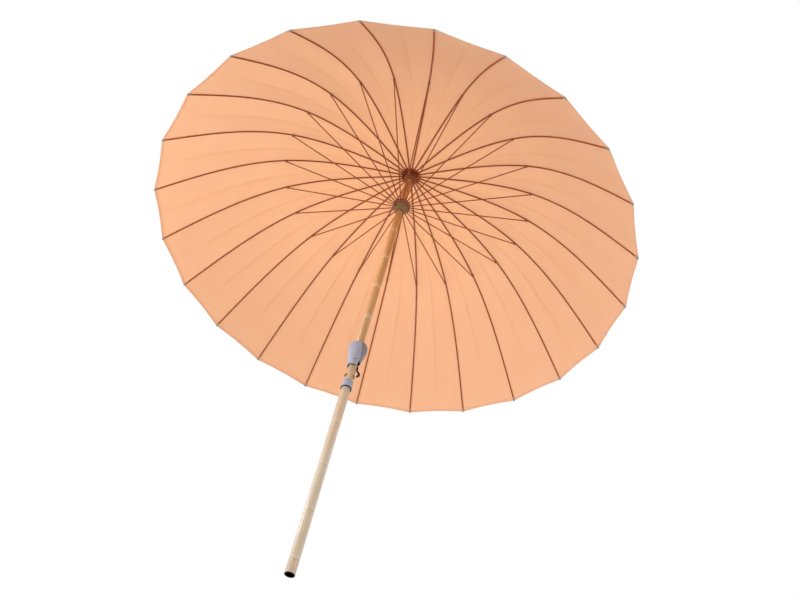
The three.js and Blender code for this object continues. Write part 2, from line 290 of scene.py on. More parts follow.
class Nodes:
    """A short way to write a node tree."""

    def __init__(self, name):
        self.material = bpy.data.materials.new(name)
        self.material.use_nodes = True
        self.tree = self.material.node_tree
        self.tree.nodes.clear()
        self.output = self.tree.nodes.new("ShaderNodeOutputMaterial")
        self.shader = self.tree.nodes.new("ShaderNodeBsdfPrincipled")
        self.link(self.shader.outputs[0], self.output.inputs["Surface"])

    def link(self, a, b):
        self.tree.links.new(a, b)

    def add(self, kind, inputs=None, **settings):
        node = self.tree.nodes.new("ShaderNode" + kind)
        for key, value in settings.items():
            setattr(node, key, value)
        for key, value in (inputs or {}).items():
            if isinstance(value, bpy.types.NodeSocket):
                self.link(value, node.inputs[key])
            else:
                node.inputs[key].default_value = value
        return node

    def set(self, **values):
        for key, value in values.items():
            socket = self.shader.inputs[key.replace("_", " ")]
            if isinstance(value, bpy.types.NodeSocket):
                self.link(value, socket)
            else:
                socket.default_value = value

    def math(self, operation, a, b=0.0, c=0.0):
        return self.add("Math", {0: a, 1: b, 2: c}, operation=operation).outputs[0]

    def mix(self, factor, a, b, blend="MIX"):
        node = self.tree.nodes.new("ShaderNodeMix")
        node.data_type = "RGBA"
        node.blend_type = blend
        for socket, value in ((node.inputs[0], factor), (node.inputs[6], a), (node.inputs[7], b)):
            if isinstance(value, bpy.types.NodeSocket):
                self.link(value, socket)
            else:
                socket.default_value = value
        return node.outputs[2]

    def ramp(self, factor, stops):
        node = self.add("ValToRGB", {0: factor})
        elements = node.color_ramp.elements
        while len(elements) < len(stops):
            elements.new(0.5)
        for element, (position, colour) in zip(elements, stops):
            element.position = position
            element.color = colour
        return node.outputs[0]

    def noise(self, vector, scale, detail=3.0, roughness=0.5):
        inputs = {"Vector": vector, "Scale": scale, "Detail": detail, "Roughness": roughness}
        return self.add("TexNoise", inputs).outputs[0]

    def stretched(self, scale):
        place = self.add("TexCoord").outputs["Object"]
        return self.add("Mapping", {"Vector": place, "Scale": scale}).outputs[0]

    def bump(self, height, strength, distance):
        inputs = {"Height": height, "Strength": strength, "Distance": distance}
        return self.add("Bump", inputs).outputs[0]


def srgb(red, green, blue):
    """A colour given in 8-bit sRGB, as linear."""
    def linear(value):
        value /= 255
        return value / 12.92 if value <= 0.04045 else ((value + 0.055) / 1.055) ** 2.4
    return (linear(red), linear(green), linear(blue), 1)


def bamboo_material(name, offset, tones):
    """Bamboo-look print on a tube: long fibres, a dark broken ring at each knot and a paler band above it."""
    n = Nodes(name)
    place = n.add("TexCoord").outputs["Object"]
    axes = n.add("SeparateXYZ", {0: place})
    fibres = n.noise(n.stretched((260, 260, 5)), 1.0, 4, 0.6)
    streaks = n.noise(n.stretched((90, 90, 1.6)), 1.0, 3, 0.5)
    patches = n.noise(n.stretched((14, 14, 7)), 1.0, 3, 0.5)
    pitch = 190 * MM
    wobble = n.math("MULTIPLY", n.noise(n.stretched((40, 40, 2)), 1.0), 14 * MM)
    height = n.math("ADD", axes.outputs[2], wobble)
    phase = n.math("FRACT", n.math("DIVIDE", n.math("ADD", height, offset), pitch))
    distance = n.math("MULTIPLY", n.math("ABSOLUTE", n.math("SUBTRACT", phase, 0.5)), pitch)
    above = n.math("MULTIPLY", n.math("SUBTRACT", phase, 0.5), pitch)
    ring = n.math("SUBTRACT", 1.0, n.math("DIVIDE", distance, 1.7 * MM))
    ring = n.add("Clamp", {0: ring}).outputs[0]
    breaks = n.ramp(n.noise(n.stretched((45, 45, 1)), 1.0, 2), [(0.44, (0, 0, 0, 1)), (0.56, (1, 1, 1, 1))])
    ring = n.math("MULTIPLY", ring, breaks)
    band = n.add("MapRange", {0: above, 1: 2 * MM, 2: 26 * MM, 3: 1.0, 4: 0.0}).outputs[0]
    band = n.math("MULTIPLY", band, n.math("GREATER_THAN", above, 0.0))
    base = n.ramp(fibres, list(zip((0.25, 0.5, 0.75), tones)))
    base = n.mix(n.math("MULTIPLY", patches, 0.35), base, srgb(205, 168, 140))
    base = n.mix(n.math("MULTIPLY", streaks, 0.22), base, srgb(176, 140, 92))
    base = n.mix(n.math("MULTIPLY", band, 0.45), base, srgb(234, 216, 192))
    colour = n.mix(n.math("MULTIPLY", ring, 0.75), base, srgb(112, 84, 62))
    relief = n.math("SUBTRACT", n.math("MULTIPLY", fibres, 0.4), ring)
    n.set(Base_Color=colour, Roughness=n.math("ADD", 0.32, n.math("MULTIPLY", streaks, 0.2)))
    n.set(Normal=n.bump(relief, 0.35, 0.3 * MM), Coat_Weight=0.5, Coat_Roughness=0.16)
    return n.material


def lacquer_material(name, dark, light, roughness=0.35):
    """Coated rod or hub: even colour with faint mottling and orange-peel."""
    n = Nodes(name)
    mottled = n.noise(n.stretched((60, 60, 60)), 1.0, 4, 0.6)
    peel = n.noise(n.stretched((1500, 1500, 1500)), 1.0, 2)
    colour = n.ramp(mottled, [(0.3, dark), (0.7, light)])
    n.set(Base_Color=colour, Roughness=n.math("ADD", roughness, n.math("MULTIPLY", mottled, 0.15)))
    n.set(Normal=n.bump(peel, 0.12, 0.1 * MM), Coat_Weight=0.06, Coat_Roughness=0.3)
    return n.material


def plastic_material(name, base, worn, roughness=0.42):
    """Moulded plastic: fine spark-eroded grain, slight colour drift and rubbed edges."""
    n = Nodes(name)
    drift = n.noise(n.stretched((22, 22, 22)), 1.0, 3)
    grain = n.noise(n.stretched((2600, 2600, 2600)), 1.0, 2)
    edges = n.add("NewGeometry").outputs["Pointiness"]
    rubbed = n.ramp(edges, [(0.5, (0, 0, 0, 1)), (0.62, (1, 1, 1, 1))])
    colour = n.mix(n.math("MULTIPLY", drift, 0.35), base, worn)
    colour = n.mix(n.math("MULTIPLY", rubbed, 0.35), colour, worn)
    n.set(Base_Color=colour, Roughness=n.math("ADD", roughness, n.math("MULTIPLY", grain, 0.12)))
    n.set(Normal=n.bump(grain, 0.18, 0.08 * MM))
    return n.material


def metal_material(name, colour):
    n = Nodes(name)
    scratches = n.noise(n.stretched((900, 900, 120)), 1.0, 3, 0.6)
    n.set(Base_Color=n.mix(scratches, colour, tuple(0.8 * c for c in colour[:3]) + (1,)), Metallic=1.0)
    n.set(Roughness=n.math("ADD", 0.25, n.math("MULTIPLY", scratches, 0.2)))
    return n.material


THREAD_LIGHT = (1.0, 0.83, 0.64, 1)  # what the threads let through


def fabric_material():
    """Plain-woven peach polyester that light comes through; its seams and hems are several layers thick."""
    n = Nodes("peach_fabric")
    uv = n.add("UVMap", uv_map="weave").outputs[0]
    axes = n.add("SeparateXYZ", {0: uv})
    pitch = 0.9 * MM
    warp = n.math("SINE", n.math("MULTIPLY", axes.outputs[0], 2 * math.pi / pitch))
    weft = n.math("SINE", n.math("MULTIPLY", axes.outputs[1], 2 * math.pi / pitch))
    weave = n.math("MULTIPLY", warp, weft)
    slubs = n.noise(n.add("Mapping", {"Vector": uv, "Scale": (14, 500, 1)}).outputs[0], 1.0, 3, 0.6)
    cloudy = n.noise(n.stretched((3.2, 3.2, 3.2)), 1.0, 3, 0.5)
    layers = n.add("Attribute", attribute_name="layers", attribute_type="GEOMETRY").outputs["Fac"]
    thread = n.add("Attribute", attribute_name="thread", attribute_type="GEOMETRY").outputs["Fac"]
    dash = n.math("GREATER_THAN", n.math("FRACT", n.math("DIVIDE", axes.outputs[1], 3.2 * MM)), 0.28)
    stitch = n.math("MULTIPLY", thread, dash)
    base = n.ramp(cloudy, [(0.3, srgb(240, 194, 162)), (0.7, srgb(245, 204, 174))])
    base = n.mix(n.math("MULTIPLY", slubs, 0.16), base, srgb(228, 180, 144))
    base = n.mix(n.math("MULTIPLY", layers, 0.3), base, srgb(222, 162, 124))
    base = n.mix(n.math("MULTIPLY", stitch, 0.5), base, srgb(250, 226, 200))
    relief = n.math("ADD", n.math("MULTIPLY", weave, 0.25), n.math("MULTIPLY", stitch, 1.0))
    relief = n.math("ADD", relief, n.math("MULTIPLY", slubs, 0.2))
    normal = n.bump(relief, 0.25, 0.25 * MM)
    n.set(Base_Color=base, Roughness=0.85, Normal=normal, Sheen_Weight=0.15, Sheen_Roughness=0.5)
    through = n.add("BsdfTranslucent", {"Color": n.mix(0.6, base, THREAD_LIGHT), "Normal": normal})
    share = n.math("SUBTRACT", 0.62, n.math("MULTIPLY", layers, 0.12))
    blended = n.add("MixShader", {0: share, 1: n.shader.outputs[0], 2: through.outputs[0]})
    n.link(blended.outputs[0], n.output.inputs["Surface"])
    return n.material


# The upper tube's tones are more orange than the lower tube's: painted orange light from the canopy over the
# bamboo print.
UPPER_TONES_CANOPY_LIT = (srgb(184, 124, 58), srgb(206, 148, 82), srgb(222, 176, 116))
MIDDLE_TONES = (srgb(198, 170, 128), srgb(216, 192, 152), srgb(230, 210, 176))
LOWER_TONES = (srgb(206, 188, 158), srgb(226, 214, 190), srgb(238, 230, 210))
BAMBOO_UPPER_CANOPY_LIT = bamboo_material("bamboo_upper_canopy_lit", 0.05, UPPER_TONES_CANOPY_LIT)
BAMBOO_MIDDLE = bamboo_material("bamboo_middle", 0.02, MIDDLE_TONES)
BAMBOO_LOWER = bamboo_material("bamboo_lower", 0.038, LOWER_TONES)
ROD_BROWN = lacquer_material("rod_brown", srgb(136, 58, 8), srgb(168, 82, 18), 0.5)
HUB_BROWN = lacquer_material("hub_brown", srgb(122, 66, 40), srgb(152, 92, 62), 0.5)
RUNNER_GREY = plastic_material("runner_grey_brown", srgb(128, 106, 76), srgb(158, 134, 100))
GREY_PLASTIC = plastic_material("grey_plastic", srgb(160, 164, 182), srgb(184, 188, 200))
DARK_PLASTIC = plastic_material("dark_plastic", srgb(38, 34, 36), srgb(70, 66, 68))
TIP_GREY = plastic_material("tip_grey", srgb(150, 140, 138), srgb(180, 172, 168))
# The cheek's darker grey is painted shade: it stands for the housing's flank that turns away from the light.
SHADED_CHEEK_GREY = plastic_material("grey_cheek_painted_shade", srgb(126, 124, 128), srgb(152, 150, 152))
STEEL = metal_material("zinc_steel", (0.62, 0.60, 0.57, 1))
# Near-black on the lever and its saddle is painted shade: it stands for the shadow seen under the lever.
LEVER_BLACK_PAINTED_SHADE = plastic_material("black_plastic_painted_shade", srgb(14, 12, 14), srgb(30, 26, 30))
STEEL_DARK = metal_material("black_steel", (0.10, 0.10, 0.11, 1))
FABRIC = fabric_material()

# ---------------------------------------------------------------- ribs and struts


def rib_chord():
    crown = Vector((PIVOT_RADIUS, 0, CROWN_PIVOT.z))
    joint_point = Vector((STRUT_PIVOT.x, 0, STRUT_PIVOT.z + CLIP_DROP))
    tip = Vector((CANOPY_RADIUS, 0, RIM_HEIGHT))
    return crown, joint_point, tip


CROWN_END, RIB_JOINT, RIB_TIP = rib_chord()
INNER_SPAN = (RIB_JOINT - CROWN_END).length
OUTER_SPAN = (RIB_TIP - RIB_JOINT).length
RIB_LENGTH = INNER_SPAN + OUTER_SPAN
RIB_BEND = ((RIB_TIP - RIB_JOINT) / OUTER_SPAN - (RIB_JOINT - CROWN_END) / INNER_SPAN) * 3 / RIB_LENGTH


def rib_point(distance):
    """A point on the rib's axis in the XZ plane: a springy rod held at crown, strut joint and tip."""
    if distance <= INNER_SPAN:
        span, near, end, far = INNER_SPAN, distance, CROWN_END, RIB_JOINT
    else:
        span, near, end, far = OUTER_SPAN, RIB_LENGTH - distance, RIB_TIP, RIB_JOINT
    sag = near * (near * near - span * span) / (6 * span)
    return end.lerp(far, near / span) + RIB_BEND * sag


def rib_normal(distance):
    ahead = rib_point(distance + MM) - rib_point(distance - MM)
    return Vector((-ahead.z, 0, ahead.x)).normalized()


def rib_mesh():
    steps = 64
    stations = [-ROD_OVERHANG + (RIB_LENGTH + ROD_OVERHANG) * i / steps for i in range(steps + 1)]
    eye = 7 * MM
    stations = sorted(stations + [-ROD_OVERHANG + eye * k / 4 for k in range(1, 4)])
    radii = []
    for s in stations:
        flat = max(0.0, 1 - (s + ROD_OVERHANG) / eye)
        flat = flat * flat * (3 - 2 * flat)
        radii.append((RIB_RADIUS * (1 - 0.3 * flat), RIB_RADIUS * (1 + 0.25 * flat)))
    return rod("rib", [rib_point(s) for s in stations], RIB_RADIUS, 12, radii)


def strut_mesh():
    start = Vector((PIVOT_RADIUS, 0, RUNNER_PIVOT.z))
    end = Vector((STRUT_PIVOT.x, 0, STRUT_PIVOT.z))
    along = (end - start).normalized()
    length = (end - start).length
    stations = [-2.5, 0, 3, 6, 9, 12]
    stations = [s * MM for s in stations] + [length - s * MM for s in (12, 9, 6, 3, 0, -1.5)]
    radii = []
    for s in stations:
        flat = max(0.0, 1 - min(s + 2.5 * MM, length + 1.5 * MM - s) / (9 * MM))
        radii.append((STRUT_RADIUS * (1 - 0.45 * flat), STRUT_RADIUS * (1 + 0.2 * flat)))
    return rod("strut", [start + along * s for s in stations], STRUT_RADIUS, 12, radii)


def clip_mesh():
    """The clip: a sleeve round the rib with two ears that hold the strut's end on a rivet."""
    half = 8 * MM
    distances = [INNER_SPAN + half * k / 4 for k in range(-4, 5)]
    sleeve = rod("sleeve", [rib_point(s) for s in distances], RIB_RADIUS + 0.9 * MM, 16)
    along = (rib_point(INNER_SPAN + MM) - rib_point(INNER_SPAN - MM)).normalized()
    down = -rib_normal(INNER_SPAN)
    pivot = Vector((STRUT_PIVOT.x, 0, STRUT_PIVOT.z))
    pieces = [sleeve]
    for side in (-1, 1):
        outline = []
        for k in range(9):
            angle = math.pi * k / 8
            outline.append(pivot + along * 3.2 * MM * math.cos(angle) + down * 3.2 * MM * math.sin(angle))
        outline.append(RIB_JOINT - along * 5 * MM)
        outline.append(RIB_JOINT + along * 5 * MM)
        ear = extruded("ear", [(p.x, p.z) for p in outline], 0.45 * MM)
        ear.transform(Matrix.Translation((0, side * (STRUT_RADIUS + 0.6 * MM), 0)))
        pieces.append(bevelled(ear, 0.2 * MM, 1))
    mesh = merged("rib_clip", pieces)
    smooth(mesh, 40)
    return mesh


def rivet_mesh():
    pivot = Vector((STRUT_PIVOT.x, 0, STRUT_PIVOT.z))
    half = [(0.9, 3.55), (1.8, 3.55), (1.8, 3.7), (1.3, 4.1), (0, 4.25)]
    profile = [(r, -z) for r, z in reversed(half)] + half
    mesh = lathe("rivet", [(r * MM, z * MM) for r, z in profile], 16)
    mesh.transform(Matrix.Translation(pivot) @ Matrix.Rotation(math.pi / 2, 4, "X"))
    smooth(mesh, 40)
    return mesh


def tip_cap_mesh():
    """The moulded cap on a rib's tip, with a flange that takes the corner of the hem."""
    tip, before = rib_point(RIB_LENGTH), rib_point(RIB_LENGTH - 10 * MM)
    profile = [(0, -16), (3.5, -16), (3.9, -15), (3.9, -3), (5.0, -2.4), (5.2, -1.4), (4.8, -0.6)]
    profile += [(3.9, 0), (3.6, 1.6), (2.5, 3.2), (0, 3.8)]
    mesh = lathe("tip_cap", [(r * MM, z * MM) for r, z in profile], 20)
    mesh.transform(Matrix.Translation(tip) @ (tip - before).to_track_quat("Z", "Y").to_matrix().to_4x4())
    smooth(mesh, 45)
    return mesh


def add_ribs():
    shapes = {
        "rib": (rib_mesh(), ROD_BROWN, "brown_rod"),
        "strut": (strut_mesh(), ROD_BROWN, "brown_rod"),
        "rib_clip": (clip_mesh(), HUB_BROWN, "brown_hub"),
        "clip_rivet": (rivet_mesh(), STEEL, "brown_hub"),
        "tip_cap": (tip_cap_mesh(), TIP_GREY, "grey_plastic"),
    }
    for i in range(RIB_COUNT):
        for stem, (mesh, material, slot) in shapes.items():
            body = numbered("strut" if stem == "strut" else "rib", i)
            node = (numbered(stem, i),) if stem in ("rib", "strut") else ()
            name = numbered(stem + ("_rod" if node else ""), i)
            place(name, mesh, material, body, slot, node, turn=i * RIB_STEP)


add_ribs()

# ---------------------------------------------------------------- canopy

FABRIC_THICKNESS = 0.5 * MM
SEAM_HALF = 7 * MM
HEM = 12 * MM
PANEL_START = 9 * MM  # along the rib from its pivot
MID_SAG = 13 * MM
HALF_GORE = RIB_STEP / 2


def fabric_station(distance):
    """Radius and height of the cloth's underside above the rib, at a distance along the rib."""
    return rib_point(distance) + rib_normal(distance) * (RIB_RADIUS + FABRIC_GAP)


def panel_rows():
    length = RIB_LENGTH - PANEL_START
    rows = [PANEL_START + length * k / 56 for k in range(56)]
    edge = RIB_LENGTH
    rows = [s for s in rows if s < edge - HEM - 3 * MM]
    rows += [edge - HEM - 0.6 * MM, edge - HEM, edge - HEM + 2.2 * MM, edge - HEM + 3.4 * MM]
    return rows + [edge - 7 * MM, edge - 3.5 * MM, edge - 0.8 * MM, edge]


def panel_columns(half_width):
    """Distances from the rib line to the middle of the gore, with the seam's edge as a small step."""
    seam = min(SEAM_HALF, 0.5 * half_width)
    near = [0, 0.25 * seam, 0.62 * seam, 0.8 * seam, 0.92 * seam, seam]
    rest = [seam + (half_width - seam) * share for share in [k / 11 for k in range(1, 11)] + [0.985, 1]]
    return near + rest


def cloth_wrinkle(point, share):
    """Soft wrinkles, the same on both sides of a gore's middle because they depend on the place alone."""
    broad = noise.noise(Vector((point.x * 4.1, point.y * 4.1, point.z * 5.0)))
    fine = noise.noise(Vector((point.x * 13.0, point.y * 13.0, point.z * 9.0 + 7.0)))
    return (broad * 2.2 + fine * 0.9) * MM * share


def panel_mesh(index):
    """The cloth round one rib, from mid-gore to mid-gore, as a thin closed sheet."""
    turn = Matrix.Rotation(index * RIB_STEP, 3, "Z")
    rows = panel_rows()
    count = 18
    columns = 2 * count - 1
    under, over, layers, threads, flat = [], [], [], [], []
    for s in rows:
        base, normal = fabric_station(s), rib_normal(s)
        half_width = base.x * math.sin(HALF_GORE)
        offsets = panel_columns(half_width)
        along = (s - PANEL_START) / (RIB_LENGTH - PANEL_START)
        sag = MID_SAG * math.sin(math.pi * min(1.0, along ** 0.8)) ** 0.9 if 0 < along < 1 else 0.0
        for side in range(columns):
            j = side - (count - 1)
            offset = offsets[abs(j)]
            across = offset / half_width
            sign = 1 if j >= 0 else -1
            dip = math.sin(across * math.pi / 2)
            inward = offset * math.sin(HALF_GORE)
            point = Vector((base.x - inward, sign * offset * math.cos(HALF_GORE), base.z))
            point -= normal * sag * dip
            scallop = 4 * MM * dip * max(0.0, (along - 0.9) / 0.1) ** 2
            point += Vector((-1, 0, 0.6)) * scallop
            world = turn @ point
            lift = cloth_wrinkle(world, dip * min(1.0, 4 * along * 0.5) * (1 if along < 0.985 else 0.6))
            point += normal * lift
            hem = 1.0 if s >= RIB_LENGTH - HEM - 1e-9 else 0.0
            seam = 1.0 if offset < min(SEAM_HALF, 0.5 * half_width) * 0.85 else 0.0
            folded = max(hem, seam)
            thread = 1.0 if hem and s <= RIB_LENGTH - HEM + 3.5 * MM and s > RIB_LENGTH - HEM + 1e-9 else 0.0
            if abs(abs(j) - 2) < 0.5 and along > 0.01:
                thread = 1.0
            layers.append(folded)
            threads.append(thread)
            flat.append((sign * offset, s))
            under.append(point - normal * 0.25 * MM * folded)
            over.append(point + normal * (FABRIC_THICKNESS + 0.45 * MM * folded))
    points = under + over
    total = len(under)
    faces = []
    for i in range(len(rows) - 1):
        for k in range(columns - 1):
            a, b = i * columns + k, i * columns + k + 1
            c, d = b + columns, a + columns
            faces.append((a, b, c, d))
            faces.append((total + d, total + c, total + b, total + a))
    last = (len(rows) - 1) * columns
    for k in range(columns - 1):
        faces.append((k + 1, k, total + k, total + k + 1))
        faces.append((last + k, last + k + 1, total + last + k + 1, total + last + k))
    for i in range(len(rows) - 1):
        a, b = i * columns, (i + 1) * columns
        faces.append((a, b, total + b, total + a))
        a, b = a + columns - 1, b + columns - 1
        faces.append((b, a, total + a, total + b))
    mesh = mesh_from(numbered("canopy_panel", index), points, faces)
    for name, values in (("layers", layers), ("thread", threads)):
        attribute = mesh.attributes.new(name, "FLOAT", "POINT")
        attribute.data.foreach_set("value", values + values)
    weave = mesh.uv_layers.new(name="weave")
    both = flat + flat
    for loop in mesh.loops:
        weave.data[loop.index].uv = both[loop.vertex_index]
    smooth(mesh, 40)
    return mesh


def add_canopy():
    rows = panel_rows()
    for i in range(RIB_COUNT):
        angle = i * RIB_STEP
        body = numbered("rib", i)
        name = numbered("canopy_panel", i)
        panel = place(name, panel_mesh(i), FABRIC, body, "peach_fabric", ("canopy",), turn=angle)
        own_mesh(panel)


add_canopy()


def crown_patch_mesh():
    """The round patch that closes the canopy's centre, clamped under the top cap and sewn to the panels."""
    clamped = CAP_LOW.z - 1.2 * MM
    line = [(POST_RADIUS + 0.8 * MM, clamped), (HUB_RADIUS - 3 * MM, clamped)]
    line += [(HUB_RADIUS + MM, clamped - 0.8 * MM)]
    for s in (12 * MM, 13.5 * MM, PATCH_END - 1.5 * MM, PATCH_END):
        point = fabric_station(s) + rib_normal(s) * 1.6 * MM
        line.append((point.x, point.z))
    over = [(radius, height + FABRIC_THICKNESS) for radius, height in reversed(line)]
    mesh = lathe("crown_patch", line + over, 96)
    for name in ("layers", "thread"):
        values = []
        for vertex in mesh.vertices:
            radius = math.hypot(vertex.co.x, vertex.co.y)
            values.append(1.0 if abs(radius - line[-2][0]) < 0.2 * MM or name == "layers" else 0.0)
        mesh.attributes.new(name, "FLOAT", "POINT").data.foreach_set("value", values)
    weave = mesh.uv_layers.new(name="weave")
    for loop in mesh.loops:
        weave.data[loop.index].uv = mesh.vertices[loop.vertex_index].co.xy
    smooth(mesh, 40)
    return mesh


PATCH_END = 16 * MM
POST_RADIUS = 9 * MM
patch = place("crown_patch", crown_patch_mesh(), FABRIC, "mast", "peach_fabric")

# ---------------------------------------------------------------- hubs, runner and top cap


def scaled(profile, lift=0.0):
    """A profile in millimetres, as metres, moved up by lift."""
    return [(radius * MM, height * MM + lift) for radius, height in profile]


def curve_points(start, control, end, steps):
    """Points on a quadratic curve, without its start."""
    points = []
    for i in range(1, steps + 1):
        t = i / steps
        triples = zip(start, control, end)
        points.append(tuple(a * (1 - t) ** 2 + 2 * b * t * (1 - t) + c * t * t for a, b, c in triples))
    return points


def block(name, low, high):
    outline = [(low[0], low[2]), (high[0], low[2]), (high[0], high[2]), (low[0], high[2])]
    mesh = extruded(name, outline, (high[1] - low[1]) / 2)
    mesh.transform(Matrix.Translation((0, (high[1] + low[1]) / 2, 0)))
    return mesh


def slot_cutters(bottom, top):
    """One box for each rod's slot, all round a hub."""
    half = SLOT_WIDTH / 2
    meshes = []
    for i in range(RIB_COUNT):
        box = block("slot", (SLOT_INNER, -half, bottom), (HUB_RADIUS + 8 * MM, half, top))
        box.transform(Matrix.Rotation(i * RIB_STEP, 4, "Z"))
        meshes.append(box)
    return merged("slots", meshes)


def ring_wire_mesh(height):
    """The wire that a hub's rods turn on."""
    radius = 1.0 * MM
    circle = []
    for k in range(10):
        angle = 2 * math.pi * k / 10
        circle.append((PIVOT_RADIUS + radius * math.cos(angle), height + radius * math.sin(angle)))
    mesh = lathe("ring_wire", circle, 120)
    smooth(mesh, 60)
    return mesh


SLOT_WIDTH = 2 * (RIB_RADIUS + 0.4 * MM)
SLOT_DEPTH = math.hypot(ROD_OVERHANG, RIB_RADIUS) + 0.4 * MM
SLOT_INNER = PIVOT_RADIUS - SLOT_DEPTH - 0.8 * MM
CROWN_Z = CROWN_PIVOT.z
RUNNER_Z = RUNNER_PIVOT.z


def crown_hub_mesh():
    rim = HUB_RADIUS / MM
    top = SLOT_DEPTH / MM + 5
    socket = SLOT_INNER / MM - 5
    profile = [(0, 3), (16.4, 3), (16.4, -40), (socket, -40)]
    profile += curve_points((socket, -40), (socket + 3.5, -30), (socket + 4.5, -12), 6)
    profile += [(socket + 4.5, -8), (rim, -8), (rim, top), (9, top)]
    profile += [(9, top + 11), (0, top + 11)]
    body = lathe("crown_hub", scaled(rounded(profile, 1.6), CROWN_Z), 144)
    body = boolean(body, slot_cutters(CROWN_Z - 80 * MM, CROWN_Z + SLOT_DEPTH))
    body = bevelled(body, 0.35 * MM, 2, 40)
    smooth(body, 40)
    return body


def bell_radius(drop):
    """The bell's outside at a distance below the strut pivots, in millimetres."""
    top = SLOT_INNER / MM + 5
    return 21 + (50 - drop) / 42 * (top - 21)


BUTTON_AZIMUTH = math.radians(210)
BUTTON_DROP = 20 * MM


def along_button(mesh):
    """Turns a mesh made along +Z at the origin to lie along the button's direction."""
    mesh.transform(Matrix.Rotation(math.pi / 2, 4, "Y"))
    mesh.transform(Matrix.Rotation(BUTTON_AZIMUTH, 4, "Z"))
    mesh.transform(Matrix.Translation((0, 0, RUNNER_Z - BUTTON_DROP)))
    return mesh


def runner_ring_mesh():
    """The slotted ring that takes the struts."""
    rim = HUB_RADIUS / MM
    profile = [(16.8, -8), (rim - 4, -8), (rim, -6), (rim, 7), (16.8, 7)]
    body = lathe("runner_ring", scaled(rounded(profile + profile[:1], 1.2)[:-1], RUNNER_Z), 144)
    body = boolean(body, slot_cutters(RUNNER_Z - SLOT_DEPTH, RUNNER_Z + 14 * MM))
    body = bevelled(body, 0.35 * MM, 2, 40)
    smooth(body, 40)
    return body


def runner_bell_mesh():
    """The bell below the ring, with the spring button's pocket."""
    flare = SLOT_INNER / MM + 2.5
    profile = [(16.8, -50), (21, -50), (21, -46)]
    profile += curve_points((21, -46), (SLOT_INNER / MM - 1, -30), (flare, -8.1), 14) + [(16.8, -8.1)]
    body = lathe("runner_bell", scaled(rounded(profile + profile[:1], 0.8)[:-1], RUNNER_Z), 144)
    pocket = along_button(lathe("pocket", scaled([(0, 20), (4.6, 20), (4.6, 60), (0, 60)]), 40))
    body = bevelled(boolean(body, pocket), 0.35 * MM, 2, 40)
    smooth(body, 40)
    return body


def runner_button_mesh():
    out = bell_radius(20) + 4
    profile = rounded([(0, 22.2), (4, 22.2), (4, out - 0.8), (3.0, out), (0, out)], 1.2, 4)
    mesh = along_button(lathe("runner_button", scaled(profile), 40))
    smooth(mesh, 40)
    return mesh


def top_cap_mesh():
    base = SLOT_DEPTH / MM + 5 + 2.6
    socket_top = SLOT_DEPTH / MM + 5 + 11.4
    profile = [(0, socket_top), (9.4, socket_top), (9.4, base)]
    profile += [(27.4, base), (28, base + 0.6), (28, base + 2.6)]
    profile += [(27.2, base + 3.2), (27.2, base + 3.8)]
    dome = curve_points((27.2, base + 3.8), (22.0, base + 16), (6.5, base + 18.4), 18)
    profile += dome + [(6.1, base + 18.2), (5.6, base + 19.0)]
    profile += curve_points((5.6, base + 19.0), (3.6, base + 21), (0, base + 21), 6)
    mesh = lathe("top_cap", scaled(profile, CROWN_Z), 96)
    smooth(mesh, 32)
    return mesh


place("crown_hub_body", crown_hub_mesh(), HUB_BROWN, "mast", "brown_hub", ("crown_hub",))
place("crown_ring_wire", ring_wire_mesh(CROWN_Z), STEEL, "mast", "brown_hub")
place("top_cap_shell", top_cap_mesh(), HUB_BROWN, "mast", "brown_hub", ("top_cap",))
place("runner_ring", runner_ring_mesh(), HUB_BROWN, "slider", "brown_hub", ("runner",))
place("runner_bell", runner_bell_mesh(), RUNNER_GREY, "slider", "brown_hub", ("runner",))
place("runner_ring_wire", ring_wire_mesh(RUNNER_Z), STEEL, "slider", "brown_hub")
place("runner_spring_button", runner_button_mesh(), DARK_PLASTIC, "slider_button", "dark_plastic",
      ("runner_button",))

# ---------------------------------------------------------------- pole


def tube_mesh(name, inner, outer, bottom, top, sides=72):
    """A drawn tube with its lips broken."""
    lip = 0.4 * MM
    profile = [(inner, bottom + lip), (inner + lip, bottom), (outer - lip, bottom), (outer, bottom + lip)]
    profile += [(outer, top - lip), (outer - lip, top), (inner + lip, top), (inner, top - lip)]
    mesh = lathe(name, profile, sides)
    smooth(mesh, 50)
    return mesh


def add_pole():
    spans = {
        "lower_tube": (LOWER_RADIUS, 1.4 * MM, BAMBOO_LOWER, "lower"),
        "middle_tube": (POLE_RADIUS, 1.2 * MM, BAMBOO_MIDDLE, "middle"),
        # The upper tube's material carries painted orange light from the canopy.
        "upper_tube": (POLE_RADIUS, 1.2 * MM, BAMBOO_UPPER_CANOPY_LIT, "mast"),
    }
    for node, (radius, wall, material, body) in spans.items():
        low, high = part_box(node)
        mesh = tube_mesh(node, radius - wall, radius, low.z, high.z)
        place(node + "_shell", mesh, material, body, "bamboo_print", (node,))
    plug = [(0, 2.4), (11.4, 2.4), (12.6, 0.5), (16.1, 0.5), (16.5, 0.9)]
    plug += [(16.5, 20), (14.3, 20), (14.3, 5), (0, 5)]
    mesh = lathe("pole_end_plug", scaled(plug), 72)
    smooth(mesh, 35)
    place("pole_end_plug", mesh, DARK_PLASTIC, "lower", "dark_plastic")


